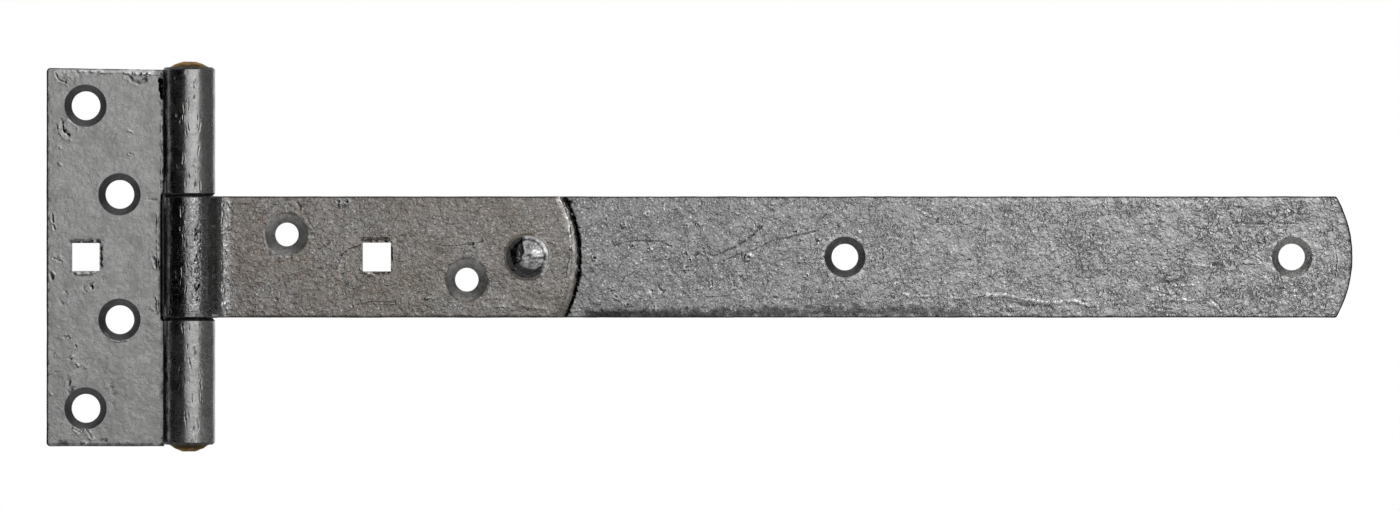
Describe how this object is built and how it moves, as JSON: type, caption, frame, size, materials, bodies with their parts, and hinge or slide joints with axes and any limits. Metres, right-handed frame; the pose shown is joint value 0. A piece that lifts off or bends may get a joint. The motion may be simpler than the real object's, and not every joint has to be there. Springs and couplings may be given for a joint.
{
  "type": "tee hinge",
  "caption": "Heavy tee hinge: a tall screw plate with rolled knuckles, and a long strap folded round a peened pin and riveted.",
  "frame": {"origin": "on the frame plate's back face, midway between its outer screw holes, where its square bolt hole is", "axes": "+X along the closed strap towards its tip, +Y out of the backs into the post and door, +Z along the pin, up as installed"},
  "size_m": [0.4313, 0.0172, 0.1285],
  "materials": {
    "plate_steel": "tumbled bare steel, dull, pitted, dark in the countersinks",
    "strap_steel": "hot rolled bar, crinkled and scratched, with tan oxide near the pin",
    "rivet_steel": "hammered",
    "pin_brass": "hammered, dull"
  },
  "bodies": {
    "frame": {"frame_plate": "plate_steel", "pin": "pin_brass"},
    "strap": {"strap": "strap_steel", "rivet": "rivet_steel"}
  },
  "joints": [
    {"name": "strap_swing", "type": "hinge", "parent": "frame", "child": "strap", "pos_m": [0.0345, -0.0086, 0], "axis": [0, 0, -1], "range_deg": [-90, 185]}
  ]
}
